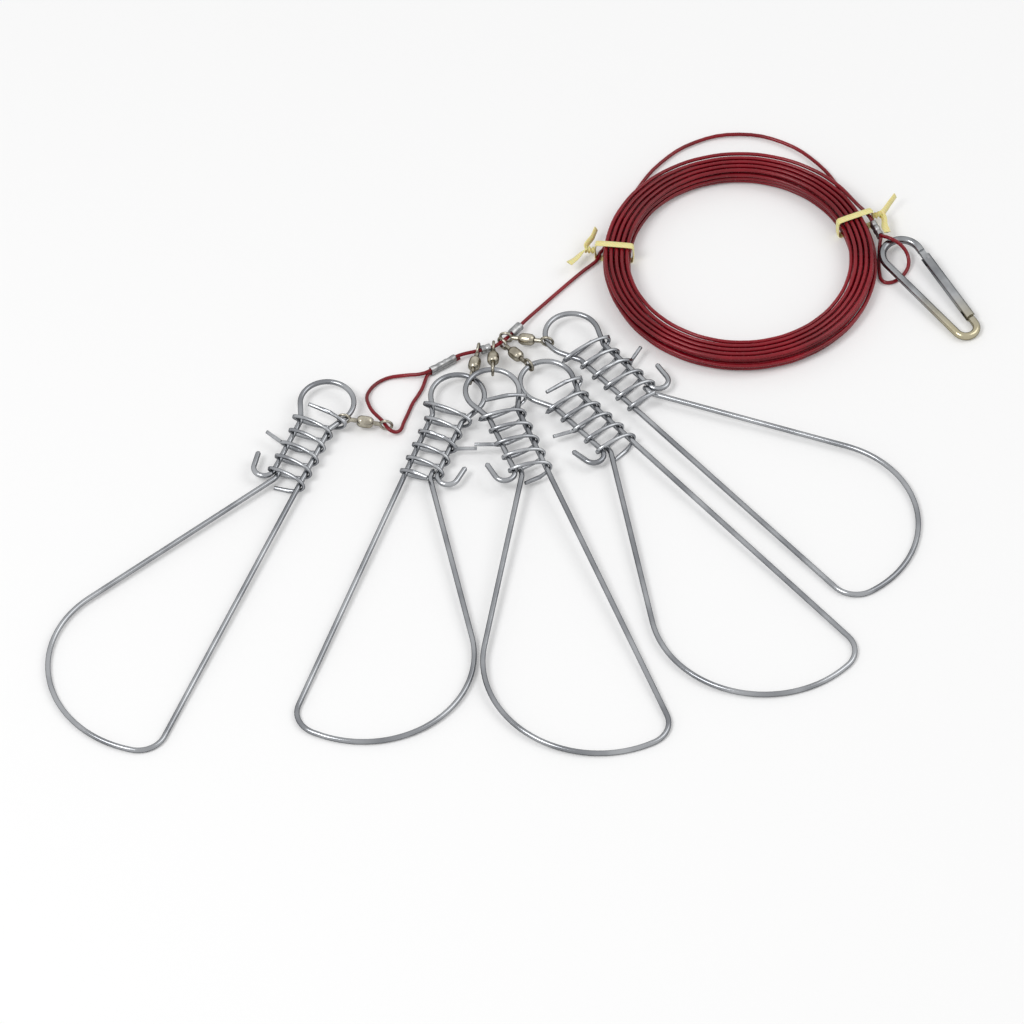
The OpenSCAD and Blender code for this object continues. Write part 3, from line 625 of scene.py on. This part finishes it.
def add_soft_light(name, place, size, watts):
    """A square lamp that shines at the middle of the object and isn't seen itself."""
    data = bpy.data.lights.new(name, "AREA")
    data.size = size
    data.energy = watts
    lamp = link(bpy.data.objects.new(name, data))
    lamp.location = place
    lamp.rotation_mode = "QUATERNION"
    lamp.rotation_quaternion = (-Vector(place)).to_track_quat("-Z", "Y")
    lamp.visible_camera = False


def seen_ray(tree):
    """1 for what the eye, a reflection or a clear material sees, and 0 for what lights a surface."""
    path = add_node(tree, "LightPath").outputs
    straight = add_node(tree, "Math", {
        0: path["Is Camera Ray"], 1: path["Is Glossy Ray"]}, operation="MAXIMUM")
    return add_node(tree, "Math", {
        0: straight.outputs[0], 1: path["Is Transmission Ray"]}, operation="MAXIMUM").outputs[0]


def add_studio():
    """A white room: soft boxes, a pale floor and white all round in sight and in reflections."""
    bpy.context.scene.view_settings.view_transform = "Standard"
    for name, place, size, watts in SOFT_BOXES:
        add_soft_light(name, place, size, watts)
    world = bpy.data.worlds.new("white_room")
    bpy.context.scene.world = world
    world.use_nodes = True
    tree = world.node_tree
    tree.nodes.clear()
    strength = add_node(tree, "MapRange", {"Value": seen_ray(tree), "To Min": ROOM_LIGHT, "To Max": 1})
    sky = add_node(tree, "Background", {
        "Color": linear("#FFFFFF"), "Strength": strength.outputs["Result"]})
    add_node(tree, "OutputWorld", {"Surface": sky.outputs["Background"]})
    form = bmesh.new()
    bmesh.ops.create_grid(form, x_segments=1, y_segments=1, size=FLOOR_REACH)
    bmesh.ops.translate(form, verts=form.verts, vec=(0, 0, FLOOR_LEVEL))
    mesh = bpy.data.meshes.new("floor")
    form.to_mesh(mesh)
    form.free()
    # White card, matt, lifted a little so that it fades into the white room
    finish, tree, shader, _ = new_finish("white_card_matt")
    shader.inputs["Base Color"].default_value = linear("#F4F4F4")
    shader.inputs["Roughness"].default_value = 0.9
    shader.inputs["Specular IOR Level"].default_value = 0.1
    shader.inputs["Emission Color"].default_value = linear("#FFFFFF")
    glow = add_node(tree, "MapRange", {"Value": seen_ray(tree), "To Max": FLOOR_GLOW})
    tree.links.new(glow.outputs["Result"], shader.inputs["Emission Strength"])
    mesh_piece("floor", mesh, finish)


# Each tie: its side, its place round the bundle in degrees, and the turn and lean of its tails
TIES = (
    ("left", 174, ((-105, 1.2), (56, 0))),
    ("right", 24, ((32, 1.3), (-100, 0))),
)
# Each sleeve: its solid, the two route points at its ends, and its dents as shares of its length
SLEEVES = (
    ("stop_sleeve_1", LEAD_ROUTE[13:15], (0.3, 0.7)),
    ("stop_sleeve_2", LEAD_ROUTE[19:21], (0.5,)),
    ("end_loop_sleeve", LEAD_ROUTE[24:26], (0.25, 0.5, 0.75)),
    ("hook_loop_sleeve", HOOK_ROUTE[1:3], (0.3, 0.7)),
)
CLIPS = 5

# The object
add_camera()
cable, route = add_cable(coated_cable())
tie_finish = tie_plastic()
ties = [add_twist_tie(side, angle, tails, tie_finish) for side, angle, tails in TIES]
sleeve_finish = sleeve_aluminium()
sleeves = [add_sleeve(node, Vector(start), Vector(end), dents, sleeve_finish)
           for node, (start, end), dents in SLEEVES]

wire_finish = spring_stainless()
coil_finish = coil_steel()
barrel_finish = barrel_nickel()
eye_finish = eye_nickel()
for n in range(1, CLIPS + 1):
    finish_nodes(wire_finish, f"clip_{n}_wire")
    add_rounded(f"swivel_{n}_barrel", f"swivel_{n}_turned_barrel", BARREL_SWELL,
                f"swivel_{n}_barrel", "swivel_barrel", barrel_finish, is_wire=False)
    finish_nodes(eye_finish, f"swivel_{n}_cable_eye", f"swivel_{n}_clip_eye")
    add_rounded(f"clip_{n}_lock_slide", f"clip_{n}_lock_lower_turns", COIL_SWELL,
                f"clip_{n}_lock", "lock_wire", coil_finish)
    upper = add_rounded(f"clip_{n}_lock_spring", f"clip_{n}_lock_upper_turns", COIL_SWELL,
                        f"clip_{n}", "lock_wire", coil_finish)
    close_up(upper)
add_rounded("snap_gate_spring", "snap_gate_return_spring", GATE_SPRING_SWELL, "gate", "lock_wire",
            coil_finish)
hook_finish = hook_steel()
finish_nodes(hook_finish, "snap_body", "snap_gate")
finish_nodes(pin_steel(), "snap_gate_pin")

add_studio()
